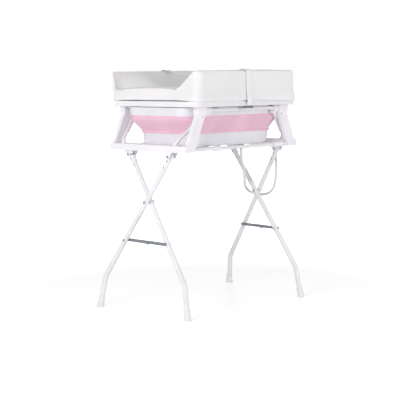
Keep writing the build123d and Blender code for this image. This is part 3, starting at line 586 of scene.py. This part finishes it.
def layBelt(name, side):
    path = beltPath(side)
    last = len(path) - 1
    bpy.ops.mesh.primitive_grid_add(
        x_subdivisions=belt["stepsAcross"], y_subdivisions=last, size=1, calc_uvs=True
    )
    strap = bpy.context.active_object
    strap.name = name
    for vertex in strap.data.vertices:
        index = round((vertex.co.y + 0.5) * last)
        y, z = path[index]
        lift = belt["lift"] * noise.noise(Vector((
            index / belt["liftSteps"], vertex.co.x * belt["liftAcross"], side * belt["liftSide"]
        )))
        x = vertex.co.x * belt["width"]
        # the slack part tips a little, so that its underside shows as a thin dark line
        slack = clamped((belt["spanHalf"] - abs(y)) / belt["tipOver"])
        slack *= clamped((abs(y) - belt["end"]) / belt["tipOver"])
        tip = -x * belt["tip"] * slack
        hangs = z < belt["top"] - belt["corner"]
        vertex.co = (x, y + (side * lift if hangs else 0), z + lift + tip)
    applyModifier(strap, "SOLIDIFY", {"thickness": belt["thickness"], "offset": 0})
    applyModifier(strap, "BEVEL", belt["edge"])
    pick(strap)
    bpy.ops.object.shade_smooth_by_angle(angle=belt["smoothAngle"])
    return strap


beltNear = layBelt("beltNear", -1)
finishPiece(beltNear, "changing_top", "belt_webbing", ["belt_near"])
beltFar = layBelt("beltFar", 1)
finishPiece(beltFar, "changing_top", "belt_webbing", ["belt_far"])
print("belt laid")

# the bath's folding band, drawn down ring by ring from the rim to the bead at its foot
band = {
    "top": 0.834,
    "length": 0.596,
    "width": 0.408,
    "corner": 0.08,
    "cornerSteps": 12,
    "wall": 0.0032,
    "smoothAngle": 0.6,
    # each ring: drop below the rim, length, width, shift along the bath
    "rings": [
        (0.0035, 0.5955, 0.4075, 0.0),
        (0.0050, 0.5925, 0.4045, 0.0),
        (0.0065, 0.5925, 0.4045, 0.0),
        (0.0080, 0.5945, 0.4065, 0.0),
        (0.0190, 0.5885, 0.4005, 0.0),
        (0.0215, 0.5850, 0.3970, 0.0005),
        (0.0440, 0.5505, 0.3680, 0.004),
        (0.0655, 0.5185, 0.3415, 0.0078),
        (0.0675, 0.5170, 0.3400, 0.008),
        (0.0685, 0.5205, 0.3435, 0.008),
        (0.0705, 0.5222, 0.3452, 0.008),
        (0.0745, 0.5222, 0.3452, 0.008),
        (0.0762, 0.5200, 0.3430, 0.008),
        (0.0768, 0.5130, 0.3370, 0.008),
    ],
}


def drawBand():
    bpy.ops.mesh.primitive_plane_add(size=1, location=(0, 0, band["top"]))
    made = bpy.context.active_object
    made.name = "foldingBand"
    made.scale = (band["length"], band["width"], 1)
    bpy.ops.object.transform_apply(location=True, rotation=True, scale=True)
    bpy.ops.object.mode_set(mode="EDIT")
    bpy.ops.mesh.select_all(action="SELECT")
    bpy.ops.mesh.bevel(offset=band["corner"], segments=band["cornerSteps"], affect="VERTICES")
    bpy.ops.mesh.delete(type="ONLY_FACE")
    bpy.ops.mesh.select_all(action="SELECT")
    before = (0.0, band["length"], band["width"], 0.0)
    for ring in band["rings"]:
        bpy.ops.mesh.extrude_region_move(
            TRANSFORM_OT_translate={"value": (ring[3] - before[3], 0, before[0] - ring[0])}
        )
        bpy.ops.transform.resize(
            value=(ring[1] / before[1], ring[2] / before[2], 1),
            center_override=(ring[3], 0, band["top"] - ring[0]),
        )
        before = ring
    bpy.ops.mesh.select_all(action="SELECT")
    bpy.ops.mesh.normals_make_consistent(inside=False)
    bpy.ops.object.mode_set(mode="OBJECT")
    applyModifier(made, "SOLIDIFY", {"thickness": band["wall"], "offset": -1})
    pick(made)
    bpy.ops.object.shade_smooth_by_angle(angle=band["smoothAngle"])
    return made


foldingBand = drawBand()
finishPiece(foldingBand, "bath_frame", "band_pink", ["tub_band"])
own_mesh(foldingBand)
print("band drawn")

# a pale floor that fades into white, and soft lamps, two of them low so that the well stays shaded
studio = {
    "floorSize": 24.0,
    "floorDrop": 0.0003,
    "floorColour": "#FAFAFB",
    "floorRoughness": 0.32,
    "floorIor": 1.4,
    "floorGlow": 0.29,
    "fade": (0.9, 2.8),
    "ambient": 0.43,
    # each lamp: place, aim, size, power
    "lamps": [
        ((-3.1, -0.7, 1.3), (0, 0, 0.6), 1.9, 50),
        ((1.2, -3.2, 0.85), (0, 0, 0.55), 1.5, 34),
        ((0.2, 0.6, 3.6), (0, 0, 0.6), 2.6, 3),
    ],
}


def setStudio():
    bpy.ops.mesh.primitive_plane_add(
        size=studio["floorSize"], location=(0, 0, -studio["floorDrop"])
    )
    floor = bpy.context.active_object
    floor.name = "studioFloor"
    paint = emptied(bpy.data.materials.new("studioFloor"))
    path = addNode(paint, "ShaderNodeLightPath")
    place = addNode(paint, "ShaderNodeTexCoord")
    away = addNode(paint, "ShaderNodeVectorMath", {0: (place, "Object")}, {"operation": "LENGTH"})
    fade = addNode(paint, "ShaderNodeMapRange", {
        "Value": (away, "Value"), "From Min": studio["fade"][0], "From Max": studio["fade"][1],
        "To Min": studio["floorGlow"], "To Max": 1.0,
    })
    glow = addNode(paint, "ShaderNodeMath", {0: (path, "Is Camera Ray"), 1: (fade, "Result")},
                   {"operation": "MULTIPLY"})
    shader = addNode(paint, "ShaderNodeBsdfPrincipled", {
        "Base Color": linear(studio["floorColour"]),
        "Roughness": studio["floorRoughness"], "IOR": studio["floorIor"],
        "Emission Color": (1, 1, 1, 1), "Emission Strength": (glow, "Value"),
    })
    addNode(paint, "ShaderNodeOutputMaterial", {"Surface": (shader, "BSDF")})
    floor.data.materials.append(paint)
    for index, (place, aim, size, power) in enumerate(studio["lamps"]):
        lamp = bpy.data.lights.new("lamp%d" % index, "AREA")
        lamp.energy = power
        lamp.size = size
        made = bpy.data.objects.new("lamp%d" % index, lamp)
        scene.collection.objects.link(made)
        made.location = place
        made.rotation_mode = "QUATERNION"
        made.rotation_quaternion = (Vector(aim) - Vector(place)).to_track_quat("-Z", "Y")


def setWorld():
    world = emptied(bpy.data.worlds.new("studio"))
    scene.world = world
    path = addNode(world, "ShaderNodeLightPath")
    seen = addNode(world, "ShaderNodeMath", {
        0: (path, "Is Camera Ray"), 1: (path, "Is Glossy Ray"),
    }, {"operation": "MAXIMUM"})
    seen = addNode(world, "ShaderNodeMath", {
        0: (seen, "Value"), 1: (path, "Is Transmission Ray"),
    }, {"operation": "MAXIMUM"})
    dim, white = (
        addNode(world, "ShaderNodeBackground", {"Color": (1, 1, 1, 1), "Strength": strength})
        for strength in (studio["ambient"], 1.0)
    )
    both = addNode(world, "ShaderNodeMixShader", {
        0: (seen, "Value"), 1: (dim, "Background"), 2: (white, "Background"),
    })
    addNode(world, "ShaderNodeOutputWorld", {"Surface": (both, "Shader")})


setStudio()
setWorld()
scene.view_settings.view_transform = "Standard"
print("studio set")
